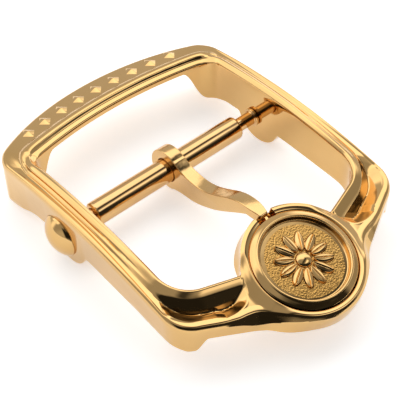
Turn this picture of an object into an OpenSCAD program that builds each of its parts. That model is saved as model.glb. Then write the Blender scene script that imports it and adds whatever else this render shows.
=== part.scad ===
// Pin buckle for a watch strap: an arched frame with a cross bar, a tongue that turns on the
// bar, and a round seat at the front that holds a medallion.
// Millimetres. The origin is on the axis of the cross bar, midway between the cheeks.
// +X runs along the bar, the seat is towards -Y, and +Z points away from the wrist.

/* [Frame outline] */
// Clear width between the two cheeks, the width of the strap
strap_w = 16; // [14:0.5:20]
// Thickness of each cheek
cheek_t = 1.55; // [1.4:0.05:2.2]
// From the bar axis to the inner edge of the rear rail
rear_reach = 6.1; // [5:0.1:8]
// Depth of the rear rail at its middle
rear_rail = 3.8; // [3.2:0.1:5]
// Bow radius of the rear rail's inner edge
rear_in_bow = 28.8; // [24:0.2:60]
// Bow radius of the rear rail's outer edge
rear_out_bow = 16.8; // [15:0.2:40]
// Radius of the rear corners, inner edge
rear_in_r = 1.35; // [0.8:0.05:2.4]
// Radius of the rear corners, outer edge
rear_out_r = 2.2; // [1.6:0.1:3.5]
// From the bar axis to where the front corners start, inner edge
front_in_reach = 8.55; // [7.5:0.05:10]
// From the bar axis to where the front corners start, outer edge
front_out_reach = 10.75; // [9.5:0.05:12]
// Radius of the front corners, inner edge
front_in_r = 2.25; // [1.5:0.05:3]
// Radius of the front corners, outer edge
front_out_r = 2.2; // [1.6:0.05:3]
// Slant of the front rails, inner edge, in degrees
front_in_slant = 17.5; // [12:0.5:22]
// Slant of the front rails, outer edge, in degrees
front_out_slant = 24.7; // [20:0.1:28]

/* [Frame section] */
// Height of the arch's crown above the bar axis
arch_z = 3; // [2.6:0.1:4]
// Radius of the arch
arch_r = 49; // [40:1:90]
// How far in front of the bar the arch has its crown
arch_y = 2.65; // [1:0.05:5]
// Thickness of the rear rail
rear_t = 0.8; // [0.6:0.05:1.5]
// Thickness of the front rails
front_t = 1; // [0.8:0.05:1.4]
// How much thinner the front rails are where they meet the seat
front_taper = 0.15; // [0.1:0.05:0.3]
// Width of the flat ledge along the window
ledge_w = 0.28; // [0.15:0.01:0.35]
// Width of the inner bead beside the ledge
bead_w = 0.55; // [0.4:0.01:0.6]
// Height of the inner bead above the ledge
bead_h = 0.24; // [0.1:0.01:0.4]
// Width of the outer bead
rim_w = 0.45; // [0.3:0.01:0.5]
// Drop from the ledge to the outer edge
rim_drop = 0.42; // [0.2:0.01:0.6]
// Depth of the cove between the beads below the ledge
cove_d = 0.14; // [0.05:0.01:0.3]
// Depth of the channel in the front corners below the ledge
channel_d = 0.62; // [0.3:0.01:0.8]
// How far the outer walls lean in towards their lower edge
wall_lean = 0.22; // [0:0.01:0.4]
// Underside of the rear feet below the bar axis
rear_foot = 1.45; // [1.2:0.05:1.9]
// Underside of the cheeks behind the hub below the bar axis
rear_waist = 0.62; // [0.5:0.01:1.2]
// Underside of the cheeks in front of the hub below the bar axis
front_waist = 0.14; // [0:0.01:0.6]
// Underside of the front feet below the bar axis
front_foot = 0.47; // [0.3:0.01:0.9]
// Radius of the hub round the bar's ends
hub_r = 1.98; // [1.9:0.01:2.4]
// How far the hub is centred in front of the bar
hub_shift = 0.45; // [0:0.05:0.6]

/* [Rear ornament] */
// Number of raised lozenges on the rear rail
lozenge_n = 9; // [5:2:11]
// Spacing of the lozenges along the rail
lozenge_pitch = 1.6; // [1.3:0.05:1.6]
// Width of one lozenge
lozenge_w = 0.95; // [0.6:0.05:1.1]
// Length of one lozenge across the rail
lozenge_l = 1.3; // [0.8:0.05:1.5]
// Height of the lozenges above the rail
lozenge_h = 0.18; // [0.1:0.01:0.3]
// From the rear rail's inner edge to the row of lozenges
lozenge_inset = 2.3; // [1.6:0.05:2.3]

/* [Seat and medallion] */
// From the bar axis to the middle of the seat
seat_reach = 13.15; // [12.8:0.05:13.6]
// Height of the medallion's edge above the arch
seat_rise = 0.37; // [0.2:0.01:0.6]
// Forward tilt of the seat, in degrees
seat_tilt = 14; // [8:0.5:18]
// Radius of the seat's ring at its top
seat_top_r = 4.08; // [4:0.01:4.4]
// Radius of the seat's wall at its foot
seat_r = 4.22; // [4.15:0.01:4.8]
// Height of the seat's wall
seat_t = 1.4; // [1.25:0.05:2]
// Height of the round bead on the seat's edge
seat_bead_h = 0.17; // [0.1:0.01:0.3]
// Radius of the medallion
medal_r = 3.48; // [3.2:0.01:3.7]
// Thickness of the medallion's edge
medal_t = 0.75; // [0.6:0.05:0.9]
// Radius of the medallion's raised rim
rim_r = 3.05; // [2.9:0.01:3.1]
// Height of the raised rim above the medallion's edge
rim_h = 0.1; // [0.05:0.01:0.2]
// Width of the lip on the raised rim
lip_w = 0.25; // [0.2:0.01:0.4]
// Depth of the field inside the lip
field_d = 0.4; // [0.25:0.01:0.45]
// Number of petals in the rosette
petal_n = 12; // [6:1:12]
// Length of one petal
petal_l = 1.35; // [1:0.05:1.4]
// Radius of the dome in the rosette's middle
boss_r = 0.55; // [0.45:0.01:0.7]
// Height of the rosette above the field
petal_h = 0.18; // [0.1:0.01:0.25]

/* [Cross bar] */
// Diameter of the bar's tube
bar_d = 1.75; // [1.6:0.05:1.8]
// Distance from each end of the tube to its cheek
bar_gap = 1.5; // [1.3:0.05:2]
// Where the tube's middle rests between its two sprung pins
bar_shift = -0.26; // [-0.3:0.01:0.3]
// Wall thickness of the tube
bar_wall = 0.2; // [0.15:0.01:0.25]
// Length of the narrowed mouth at each end of the tube
mouth_l = 0.45; // [0.3:0.05:0.6]
// Diameter of the plunger's stem
stem_d = 1.02; // [0.9:0.01:1.05]
// Diameter of the plunger's nose
nose_d = 0.86; // [0.7:0.01:0.88]
// Length of the nose inside the cheek
nose_l = 0.7; // [0.5:0.05:0.75]
// Width of the collar on the plunger
collar_w = 0.25; // [0.15:0.05:0.3]
// Diameter of the collar on the plunger
collar_d = 1.4; // [1.2:0.05:1.5]
// Length of the plunger's head inside the tube
head_l = 1.4; // [1:0.1:2]
// Diameter of the spring wire
wire_d = 0.16; // [0.12:0.01:0.18]
// Number of turns in the spring
turns = 14; // [8:1:15]
// Radial running clearance between the bar's pieces
run = 0.04; // [0.02:0.01:0.06]

/* [Caps] */
// Diameter of the domed caps
cap_d = 2.9; // [2.4:0.05:3.2]
// Height of the dome
dome_h = 0.55; // [0.4:0.01:0.8]
// Thickness of the cap's edge
cap_edge = 0.15; // [0.12:0.01:0.25]
// Diameter of the cap's stem
cap_stem_d = 1.5; // [1.2:0.05:1.6]
// Length of the cap's stem
cap_stem_l = 0.5; // [0.3:0.05:0.55]

/* [Tongue] */
// Width of the tongue
tongue_w = 1; // [0.8:0.05:1.1]
// Where the tongue sits along the bar
tongue_x = 0.12; // [-0.15:0.01:0.15]
// Outer radius of the tongue's eye
eye_r = 1.6; // [1.5:0.05:1.7]
// How far the tip reaches over the seat's bead
tip_lap = 0.3; // [0.2:0.05:0.5]
// Width of the tongue at its tip
tip_w = 0.58; // [0.5:0.02:0.8]
// Length over which the tongue narrows to its tip
tip_l = 1.4; // [0.8:0.1:2]
// Thickness of the tongue at its tip
tip_t = 0.65; // [0.55:0.05:0.8]
// Height of the tip's upper side above the arch
tip_rise = 0.4; // [0.35:0.05:0.5]
// Clearance round the tip in its notch
notch_gap = 0.06; // [0.04:0.01:0.1]
// Width of the notch
notch_w = 1.4; // [1.35:0.05:1.7]

/* [Hidden] */
gold = "#d9a95f";
pale_gold = "#e3bd7c";
steel = "#b9b4aa";
eps = 0.01;
// Small chamfer on the edges of turned pieces, and a wider one on the pins' ends
break = 0.05;
edge = 0.1;

in_x = strap_w / 2;
out_x = in_x + cheek_t;

// Height of the arch at a distance y from the bar
function arch(y) = arch_z - pow(y + arch_y, 2) / (2 * arch_r);
function mix(a, b, t) = a + (b - a) * t;
function clamp(v) = min(1, max(0, v));
function ease(t) = let (u = clamp(t)) u * u * (3 - 2 * u);
function arc(c, r, a0, a1, n) = [for (i = [0:n - 1]) let (a = mix(a0, a1, i / n)) c + r * [cos(a), sin(a)]];

// Points of each stretch of the outline from the middle of the rear rail round to the seat
bow_n = 10;
corner_n = 8;
cheek_n = 34;
slant_n = 7;
half_n = bow_n + 2 * corner_n + cheek_n + slant_n;

// Half of an outline in plan: a bowed rear edge, a rear corner, a straight cheek, a front
// corner and a slanted front edge that ends inside the seat at x = end_x
function half_outline(x, rear_y, bow, rear_r, front_y, front_r, slant, end_x) =
    let (corner_x = x - rear_r,
         corner_y = rear_y - bow + sqrt(pow(bow - rear_r, 2) - pow(corner_x, 2)),
         lean = asin(corner_x / (bow - rear_r)),
         front = [x - front_r, front_y],
         s = front + front_r * [sin(slant), -cos(slant)])
    concat(arc([0, rear_y - bow], bow, 90, 90 - lean, bow_n),
           arc([corner_x, corner_y], rear_r, 90 - lean, 0, corner_n),
           [for (i = [0:cheek_n - 1]) [x, mix(corner_y, front_y, i / cheek_n)]],
           arc(front, front_r, 0, slant - 90, corner_n),
           [for (i = [0:slant_n])
               let (px = mix(s.x, end_x, i / slant_n)) [px, s.y - (s.x - px) * tan(slant)]]);

// The front rails end inside the seat, at this distance from the middle
seat_y = -seat_reach;
end_x = 0.72 * seat_r;
inner = half_outline(in_x, rear_reach, rear_in_bow, rear_in_r, -front_in_reach, front_in_r,
                     front_in_slant, end_x);
outer = half_outline(out_x, rear_reach + rear_rail, rear_out_bow, rear_out_r, -front_out_reach,
                     front_out_r, front_out_slant, end_x);

// Share of the cheek's deep side wall at each point: 0 on the rails and 1 on the cheeks
function cheek_share(i) = i < half_n / 2
    ? ease((i - bow_n + 1) / corner_n)
    : ease((bow_n + 2 * corner_n + cheek_n - i) / 3);
// Share of the front corner's wide channel
function channel_share(i) =
    let (first = bow_n + corner_n + cheek_n)
    min(ease((i - first + 6) / 8), ease((first + corner_n + slant_n - 2.5 - i) / 3.5));

// Lower edge of the cheeks: feet, waists and a hub round the bar, blended
function waist(y) = y < -front_in_reach + 0.6
    ? -mix(front_waist, front_foot, ease((-front_in_reach + 0.6 - y) / 1.9))
    : y < 2.5
    ? -mix(front_waist, rear_waist, clamp((y + 3.5) / 6))
    : -mix(rear_waist, rear_foot, ease((y - 2.5) / (rear_reach - 3)));
function hub(y) = abs(y + hub_shift) < hub_r ? -sqrt(pow(hub_r, 2) - pow(y + hub_shift, 2)) : 0;
blend = 0.5;
function soft_min(a, b) = let (h = clamp(0.5 + 0.5 * (b - a) / blend)) mix(b, a, h) - blend * h * (1 - h);
function underside(y) = soft_min(waist(y), hub(y));

// Distances from the window's edge and from the outer edge, with the height above the arch
function bead_points() = [for (k = [0:4]) let (a = 180 - 45 * k)
    [ledge_w + bead_w / 2 * (1 + cos(a)), bead_h * sin(a)]];
function rim_points(w) = [for (k = [0:4]) let (a = 180 - 36 * k)
    [w - rim_w / 2 * (1 - cos(a)), -rim_drop + (rim_drop - cove_d * 0.3) * sin(a)]];
function section(i) =
    let (a = inner[i], b = outer[i], w = norm(b - a),
         along = (b - a) / w,
         share = cheek_share(i),
         t = i < half_n / 2 ? rear_t : front_t - front_taper * ease((i - half_n + slant_n) / 5),
         cove = mix(cove_d, channel_d, channel_share(i)),
         lean = wall_lean * share,
         top = concat([[0, 0], [0.06, 0.03]], bead_points(),
                      [[mix(ledge_w + bead_w, w - rim_w, 0.2), -cove * 0.6],
                       [mix(ledge_w + bead_w, w - rim_w, 0.55), -cove],
                       [mix(ledge_w + bead_w, w - rim_w, 0.85), -cove * 0.8]],
                      rim_points(w)))
    concat([for (p = top) let (q = a + along * p[0]) [q.x, q.y, arch(q.y) + p[1]]],
           [for (p = [[b, lean], [a, 0]])
               let (q = p[0] - along * p[1])
               [q.x, q.y, mix(arch(q.y) - t, underside(q.y), share)]]);

half = [for (i = [0:half_n]) section(i)];
function flip(ring) = [for (p = ring) [-p.x, p.y, p.z]];
rings = concat([for (i = [half_n:-1:1]) flip(half[i])], half);

// Skin over a row of closed rings with the same number of points, closed at both ends
module skin(rings) {
    m = len(rings[0]);
    n = len(rings);
    points = [for (r = rings) each r];
    walls = [for (j = [0:n - 2], k = [0:m - 1])
        let (a = j * m + k, b = j * m + (k + 1) % m)
        each [[a, b, a + m], [b, b + m, a + m]]];
    first = [[for (k = [m - 1:-1:0]) k]];
    last = [[for (k = [0:m - 1]) (n - 1) * m + k]];
    polyhedron(points = points, faces = concat(walls, first, last), convexity = 6);
}

// Places its children on the seat: z = 0 is the plane of the medallion's edge
seat_z = arch(seat_y) + seat_rise;
module on_seat() {
    translate([0, seat_y, seat_z]) rotate([seat_tilt, 0, 0]) children();
}

fit = 0.03;
pocket_r = medal_r + fit;
// The seat's ring is a bead that starts this far below the medallion's edge
groove_d = 0.1;
module seat() {
    bead_r = (seat_top_r - pocket_r) / 2;
    bead_mid = pocket_r + bead_r;
    rotate_extrude($fn = 96)
        polygon(concat([[0, -seat_t], [seat_r - edge, -seat_t], [seat_r, -seat_t + edge],
                        [mix(seat_top_r, seat_r, 0.3), -seat_t / 2]],
                       [for (a = [0:20:180])
                           [bead_mid + bead_r * cos(a), -groove_d + (seat_bead_h + groove_d) * sin(a)]],
                       [[0, -groove_d]]));
}

// Turns its children's Z axis to run along the bar, starting at x
module along_x(x) {
    translate([x, 0, 0]) rotate([0, 90, 0]) children();
}

bore_d = nose_d + 2 * run;
cap_x = out_x - cap_edge;
stem_x = cap_x - cap_stem_l;
module cheek_holes() {
    for (side = [0, 1]) mirror([side, 0, 0]) {
        along_x(in_x - 1) cylinder(d = bore_d, h = stem_x - in_x + 1 + eps, $fn = 48);
        along_x(stem_x) cylinder(d = cap_stem_d, h = cap_stem_l + 1, $fn = 48);
        along_x(cap_x) cylinder(d = cap_d + 2 * fit, h = 1, $fn = 64);
    }
}

// Row of raised lozenges along the middle of the rear rail
module lozenges() {
    y = rear_reach + lozenge_inset;
    slope = atan((y + arch_y) / arch_r);
    for (i = [0:lozenge_n - 1]) {
        x = (i - (lozenge_n - 1) / 2) * lozenge_pitch;
        bow_y = y - pow(x, 2) / (2 * rear_in_bow);
        translate([x, bow_y, arch(bow_y) - cove_d])
            rotate([-slope, 0, 0])
            translate([0, 0, -rear_t / 2])
            linear_extrude(rear_t / 2 + lozenge_h)
            polygon([[lozenge_w / 2, 0], [0, lozenge_l / 2], [-lozenge_w / 2, 0], [0, -lozenge_l / 2]]);
    }
}

tip_y = seat_y + seat_r * cos(seat_tilt) - tip_lap;
tip_z = arch(tip_y) + tip_rise;
// Notch for the tip, through the seat's ring into the pocket
module notch() {
    floor_z = tip_z - tip_t - notch_gap;
    translate([-notch_w / 2, seat_y + (pocket_r - edge) * cos(seat_tilt), floor_z])
        cube([notch_w, 2, 3]);
}

module frame() {
    color(gold) difference() {
        union() {
            skin(rings);
            on_seat() seat();
            lozenges();
        }
        on_seat() translate([0, 0, -medal_t - fit]) cylinder(r = pocket_r, h = medal_t + 1, $fn = 96);
        notch();
        cheek_holes();
    }
}

// One petal: the lens where two circles cross, pointing outwards from the middle
module petal() {
    half_w = petal_l * 0.24;
    r = (pow(petal_l / 2, 2) + pow(half_w, 2)) / (2 * half_w);
    translate([boss_r + 0.08 + petal_l / 2, 0]) intersection() {
        translate([0, r - half_w]) circle(r = r, $fn = 64);
        translate([0, half_w - r]) circle(r = r, $fn = 64);
    }
}

module medallion() {
    field_z = rim_h - field_d;
    color(gold) on_seat() {
        rotate_extrude($fn = 96)
            polygon([[0, -medal_t], [medal_r - break, -medal_t], [medal_r, -medal_t + break],
                     [medal_r, -edge], [medal_r - edge, 0], [rim_r + edge, rim_h - break / 2], [rim_r, rim_h],
                     [rim_r - lip_w, rim_h], [rim_r - lip_w - break, field_z], [0, field_z]]);
        for (i = [0:petal_n - 1])
            rotate(i * 360 / petal_n)
            translate([0, 0, field_z - edge])
            linear_extrude(edge + petal_h)
            petal();
        rotate_extrude($fn = 48)
            polygon(concat([[0, field_z - edge], [boss_r, field_z - edge]],
                           [for (a = [0:15:90]) [boss_r * cos(a), field_z + (petal_h + 0.06) * sin(a)]]));
    }
}

// Domed cap with a stem that is pressed into the cheek
module cap() {
    r = cap_d / 2;
    ball_r = (pow(r, 2) + pow(dome_h, 2)) / (2 * dome_h);
    half_a = asin(r / ball_r);
    along_x(0) rotate_extrude($fn = 64)
        polygon(concat([[0, stem_x + fit], [cap_stem_d / 2 - edge, stem_x + fit],
                        [cap_stem_d / 2, stem_x + fit + edge], [cap_stem_d / 2, cap_x], [r, cap_x]],
                       [for (i = [0:8]) let (a = half_a * (1 - i / 8))
                           [ball_r * sin(a), out_x + dome_h - ball_r * (1 - cos(a))]]));
}
module cap_right() {
    color(gold) cap();
}
module cap_left() {
    color(gold) mirror([1, 0, 0]) cap();
}

tube_l = 2 * (in_x - bar_gap);
tube_x = tube_l / 2;
tube_in_r = bar_d / 2 - bar_wall;
mouth_r = stem_d / 2 + run;
module bar_tube() {
    r = bar_d / 2;
    chamfer = 0.14;
    half_bore = tube_x - mouth_l;
    color(pale_gold) along_x(bar_shift) rotate_extrude($fn = 64)
        polygon([[mouth_r, -tube_x], [r - chamfer, -tube_x], [r, -tube_x + chamfer], [r, tube_x - chamfer],
                 [r - chamfer, tube_x], [mouth_r, tube_x], [mouth_r, half_bore], [tube_in_r, half_bore],
                 [tube_in_r, -half_bore], [mouth_r, -half_bore]]);
}

head_r = tube_in_r - run;
head_end = tube_x - abs(bar_shift) - mouth_l - 0.02;
head_start = head_end - head_l;
collar_end = in_x - run;
module plunger() {
    nose_end = in_x + nose_l;
    nr = nose_d / 2;
    along_x(0) rotate_extrude($fn = 48)
        polygon([[0, head_start], [head_r - break, head_start], [head_r, head_start + break], [head_r, head_end],
                 [stem_d / 2, head_end], [stem_d / 2, collar_end - collar_w],
                 [collar_d / 2, collar_end - collar_w], [collar_d / 2, collar_end - break],
                 [collar_d / 2 - break, collar_end], [nr, collar_end],
                 [nr, nose_end - edge], [nr - edge, nose_end], [0, nose_end]]);
}
module plunger_right() {
    color(steel) plunger();
}
module plunger_left() {
    color(steel) mirror([1, 0, 0]) plunger();
}

// Coil spring between the two plunger heads, one unbroken tube
module coil_spring() {
    sides = 6;
    per_turn = 10;
    coil_r = tube_in_r - run - wire_d / 2 - 0.03;
    from_x = -head_start + wire_d / 2 + 0.03;
    span = -2 * from_x;
    steps = turns * per_turn;
    color("silver") skin([for (i = [0:steps])
        let (a = 360 * i / per_turn, x = from_x + span * i / steps)
        [for (k = [0:sides - 1]) let (b = 360 * k / sides, r = coil_r + wire_d / 2 * cos(b))
            [x + wire_d / 2 * sin(b), r * cos(a), r * sin(a)]]]);
}

// Smooth curve through hand-set points, n steps between neighbours
function at(p, i) = p[min(len(p) - 1, max(0, i))];
function curve(p, n) = [for (i = [0:len(p) - 2], k = [0:n - 1])
    let (t = k / n, a = at(p, i - 1), b = p[i], c = p[i + 1], d = at(p, i + 2))
    0.5 * (2 * b + (c - a) * t + (2 * a - 5 * b + 4 * c - d) * t * t + (3 * b - a - 3 * c + d) * t * t * t)];

// Side view of the tongue. Each point is a share of the way to the tip and a height, as a
// share of the tip's upper height: a low neck in front of the eye, then a rise to the tip
upper = [[0.1, 0.47], [0.175, 0.36], [0.26, 0.32], [0.37, 0.335], [0.475, 0.44], [0.58, 0.62],
         [0.69, 0.84], [0.775, 0.96], [0.85, 1.01], [0.92, 1.02], [0.98, 1]];
lower = [[0.08, -0.46], [0.16, -0.38], [0.235, -0.34], [0.31, -0.3], [0.39, -0.21], [0.47, -0.09],
         [0.55, 0.05], [0.63, 0.22], [0.715, 0.42], [0.79, 0.6]];
module tongue() {
    nose_r = 0.16;
    heel_r = tip_t - nose_r;
    low_z = tip_z - tip_t;
    top_line = [for (p = curve(upper, 4)) [tip_y * p[0], tip_z * p[1]]];
    low_line = [for (p = curve(lower, 4)) [tip_y * p[0], tip_z * p[1]]];
    nose = [tip_y + nose_r, tip_z - nose_r];
    heel = [tip_y + heel_r, low_z + heel_r];
    color(gold) translate([tongue_x, 0, 0]) difference() {
        rotate([90, 0, 90]) translate([0, 0, -tongue_w / 2]) linear_extrude(tongue_w) union() {
            circle(r = eye_r, $fn = 72);
            polygon(concat(top_line,
                           [for (a = [90:15:180]) nose + nose_r * [cos(a), sin(a)]],
                           [for (a = [195:15:270]) heel + heel_r * [cos(a), sin(a)]],
                           [[tip_y * 0.87, low_z]],
                           [for (i = [len(low_line) - 1:-1:0]) low_line[i]],
                           [[0, 0]]));
        }
        along_x(-tongue_w) cylinder(r = bar_d / 2 + 1.4 * run, h = 2 * tongue_w, $fn = 72);
        for (side = [0, 1]) mirror([side, 0, 0]) tip_side();
    }
}

// What is cut from one side of the tongue's end, which narrows in a slight curve
module tip_side() {
    steps = 6;
    depth = (tongue_w - tip_w) / 2;
    translate([0, 0, tip_z - 3]) linear_extrude(4)
        polygon(concat([for (i = [0:steps]) let (t = i / steps)
                           [tongue_w / 2 - depth * t * t, tip_y + tip_l * (1 - t)]],
                       [[tip_w / 2, tip_y - 1], [tongue_w, tip_y - 1], [tongue_w, tip_y + tip_l]]));
}

frame();
medallion();
cap_left();
cap_right();
bar_tube();
plunger_left();
plunger_right();
coil_spring();
tongue();
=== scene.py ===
"""Dressed model of an arched pin buckle for a watch strap, and the studio it is shown in.

Shapes are worked out in millimetres in the part's own frame: the bar's axis is the origin,
+X runs along the bar, +Y to the rear rail and +Z away from the wrist.
"""
import math

import bmesh
import bpy
import numpy as np
from mathutils import Matrix, Vector


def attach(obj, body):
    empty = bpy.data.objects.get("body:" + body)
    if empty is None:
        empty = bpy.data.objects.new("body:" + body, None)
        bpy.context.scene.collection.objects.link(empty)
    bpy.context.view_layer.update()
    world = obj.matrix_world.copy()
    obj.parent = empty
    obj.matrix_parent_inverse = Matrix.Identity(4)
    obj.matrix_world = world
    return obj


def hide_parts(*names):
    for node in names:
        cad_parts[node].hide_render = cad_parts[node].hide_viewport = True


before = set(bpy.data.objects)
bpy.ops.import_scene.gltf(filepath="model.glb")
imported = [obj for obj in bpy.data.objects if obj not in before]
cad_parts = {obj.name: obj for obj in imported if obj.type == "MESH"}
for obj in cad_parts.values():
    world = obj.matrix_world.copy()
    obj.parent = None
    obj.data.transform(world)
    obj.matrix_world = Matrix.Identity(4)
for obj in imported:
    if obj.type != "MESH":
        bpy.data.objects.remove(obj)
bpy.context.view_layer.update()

MM = 0.001

# Driving sizes of the buckle, in millimetres
STRAP_W = 16
CHEEK_T = 1.55
REAR_REACH = 6.1
REAR_RAIL = 3.8
REAR_IN_BOW = 28.8
REAR_OUT_BOW = 16.8
REAR_IN_R = 1.35
REAR_OUT_R = 2.2
FRONT_IN_REACH = 8.55
FRONT_OUT_REACH = 10.75
FRONT_IN_R = 2.25
FRONT_OUT_R = 2.2
FRONT_IN_SLANT = math.radians(17.5)
FRONT_OUT_SLANT = math.radians(26.2)
ARCH_Z = 3
ARCH_R = 49
ARCH_Y = 2.65
REAR_T = 0.8
FRONT_T = 1.25
EDGE_BREAK = 0.07

SEAT_REACH = 13.15
SEAT_RISE = 0.37
SEAT_TILT = math.radians(14)
SEAT_TOP_R = 4.08
SEAT_R = 4.22
SEAT_T = 1.55
POCKET_R = 3.51
POCKET_D = 0.78
ARM_END_X = 5.2

IN_X = STRAP_W / 2
OUT_X = IN_X + CHEEK_T
SEAT_Y = -SEAT_REACH


def ease(t):
    """Smooth step from 0 to 1."""
    t = np.clip(t, 0, 1)
    return t * t * (3 - 2 * t)


def mix(a, b, t):
    """Value between a and b: a at t = 0 and b at t = 1."""
    return a + (b - a) * t


def arch(y):
    """Height of the arched top at a distance y along the buckle."""
    return ARCH_Z - (y + ARCH_Y) ** 2 / (2 * ARCH_R)


SEAT_Z = arch(SEAT_Y) + SEAT_RISE


def smooth_max(a, b, reach):
    """The larger of two heights, with their crossing rounded over the given reach."""
    return 0.5 * (a + b + np.sqrt((a - b) ** 2 + reach ** 2))


def smooth_line(xs, ys, x):
    """Curve through given points that never swings past them (monotone cubic)."""
    xs = np.asarray(xs, float)
    ys = np.asarray(ys, float)
    step = np.diff(xs)
    slope = np.diff(ys) / step
    tangent = np.zeros(len(xs))
    tangent[0] = slope[0]
    tangent[-1] = slope[-1]
    same_way = slope[:-1] * slope[1:] > 0
    before, after = slope[:-1][same_way], slope[1:][same_way]
    tangent[1:-1][same_way] = 2 * before * after / (before + after)
    x = np.clip(x, xs[0], xs[-1])
    i = np.clip(np.searchsorted(xs, x, side="right") - 1, 0, len(xs) - 2)
    t = (x - xs[i]) / step[i]
    return ((2 * t ** 3 - 3 * t ** 2 + 1) * ys[i] + (t ** 3 - 2 * t ** 2 + t) * step[i] * tangent[i]
            + (3 * t ** 2 - 2 * t ** 3) * ys[i + 1] + (t ** 3 - t ** 2) * step[i] * tangent[i + 1])


def on_seat(u, v, w):
    """Part coordinates of a point on the tilted seat: w is its height over the seat's plane."""
    c, s = math.cos(SEAT_TILT), math.sin(SEAT_TILT)
    u, v, w = np.broadcast_arrays(u, v, w)
    return np.stack([u, SEAT_Y + v * c - w * s, SEAT_Z + v * s + w * c], axis=-1)


def seat_ring(r, angle, w):
    """Points of a circle round the seat's middle, at height w over the seat's plane."""
    return on_seat(r * np.cos(angle), r * np.sin(angle), w)


def seat_polar(x, y):
    """Distance and angle of a plan point, measured in the seat's own plane."""
    v = (y - SEAT_Y) / math.cos(SEAT_TILT)
    return np.hypot(x, v), np.arctan2(v, x)


def round_seat(rho, angle):
    """Plan points at distances and angles measured in the seat's plane."""
    return np.stack([rho * np.cos(angle), SEAT_Y + rho * np.sin(angle) * math.cos(SEAT_TILT)], axis=1)


def seat_plane(y):
    """Height of the seat's plane over a plan point."""
    return SEAT_Z + (y - SEAT_Y) * math.tan(SEAT_TILT)


# Outlines of the frame in plan: stations on each stretch of half the frame
BOW_N, REAR_CORNER_N, CHEEK_N, FRONT_CORNER_N, ARM_N = 34, 26, 72, 36, 64


def half_outline(x, rear_y, bow, rear_r, front_y, front_r, slant, end_x):
    """Right half of an outline: bowed rear edge, rear corner, cheek, front corner, slanted arm."""
    def arc(centre, r, a0, a1, n):
        a = np.linspace(a0, a1, n, endpoint=False)
        return np.stack([centre[0] + r * np.cos(a), centre[1] + r * np.sin(a)], axis=1)

    def line(a, b, n, endpoint=False):
        t = np.linspace(0, 1, n, endpoint=endpoint)[:, None]
        return np.asarray(a) + (np.asarray(b) - np.asarray(a)) * t

    corner_x = x - rear_r
    corner_y = rear_y - bow + math.sqrt((bow - rear_r) ** 2 - corner_x ** 2)
    lean = math.asin(corner_x / (bow - rear_r))
    up = math.pi / 2
    front = (x - front_r, front_y)
    start = (front[0] + front_r * math.sin(slant), front[1] - front_r * math.cos(slant))
    end = (end_x, start[1] - (start[0] - end_x) * math.tan(slant))
    return np.concatenate([
        arc((0, rear_y - bow), bow, up, up - lean, BOW_N),
        arc((corner_x, corner_y), rear_r, up - lean, 0, REAR_CORNER_N),
        line((x, corner_y), (x, front_y), CHEEK_N),
        arc(front, front_r, 0, slant - up, FRONT_CORNER_N),
        line(start, end, ARM_N + 1, endpoint=True)])


def window_end_x():
    """Where the window's slanted edge meets the seat's rim."""
    start_x = IN_X - FRONT_IN_R + FRONT_IN_R * math.sin(FRONT_IN_SLANT)
    start_y = -FRONT_IN_REACH - FRONT_IN_R * math.cos(FRONT_IN_SLANT)
    near, far = 2.5, start_x
    for _ in range(40):
        x = (near + far) / 2
        rho, _angle = seat_polar(x, start_y - (start_x - x) * math.tan(FRONT_IN_SLANT))
        near, far = (x, far) if rho < SEAT_R else (near, x)
    return x


# In front of the first line the edges belong to the arms. In front of the second the outer edge
# may run into the round front of the seat, with its crossing rounded over this reach
ARMS_Y = -9
ROUND_Y = -11
ROUND_BLEND = 0.3


def flare_out(points):
    """Lets the outer edge run into the round front of the seat in one smooth line."""
    rho, angle = seat_polar(points[:, 0], points[:, 1])
    front = points[:, 1] < ROUND_Y
    out = points.copy()
    out[front] = round_seat(smooth_max(rho, SEAT_R, ROUND_BLEND), angle)[front]
    return out


WINDOW = half_outline(IN_X, REAR_REACH, REAR_IN_BOW, REAR_IN_R, -FRONT_IN_REACH, FRONT_IN_R,
                      FRONT_IN_SLANT, window_end_x())
OUTLINE = flare_out(half_outline(OUT_X, REAR_REACH + REAR_RAIL, REAR_OUT_BOW, REAR_OUT_R,
                                 -FRONT_OUT_REACH, FRONT_OUT_R, FRONT_OUT_SLANT, ARM_END_X))
STATIONS = len(WINDOW)
REAR_CORNER = BOW_N
CHEEK = REAR_CORNER + REAR_CORNER_N
FRONT_CORNER = CHEEK + CHEEK_N
ARM = FRONT_CORNER + FRONT_CORNER_N
# How far the outer wall leans in at its foot, by station
WALL_LEAN = ([0, REAR_CORNER, CHEEK - 4, CHEEK + 8, FRONT_CORNER - 4, FRONT_CORNER + 12],
             [0, -0.05, -0.05, 0.22, 0.22, 0])


def distance_to(points, line):
    """Distance of each plan point to an open line, and on which side it lies."""
    a, b = line[:-1], line[1:]
    ab = b - a
    ap = points[:, None, :] - a[None]
    t = np.clip((ap * ab).sum(-1) / (ab ** 2).sum(-1), 0, 1)
    gap = ap - t[..., None] * ab
    d = np.hypot(gap[..., 0], gap[..., 1])
    nearest = d.argmin(1)
    rows = np.arange(len(points))
    cross = ab[nearest, 0] * ap[rows, nearest, 1] - ab[nearest, 1] * ap[rows, nearest, 0]
    return d[rows, nearest], np.sign(cross)


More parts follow.
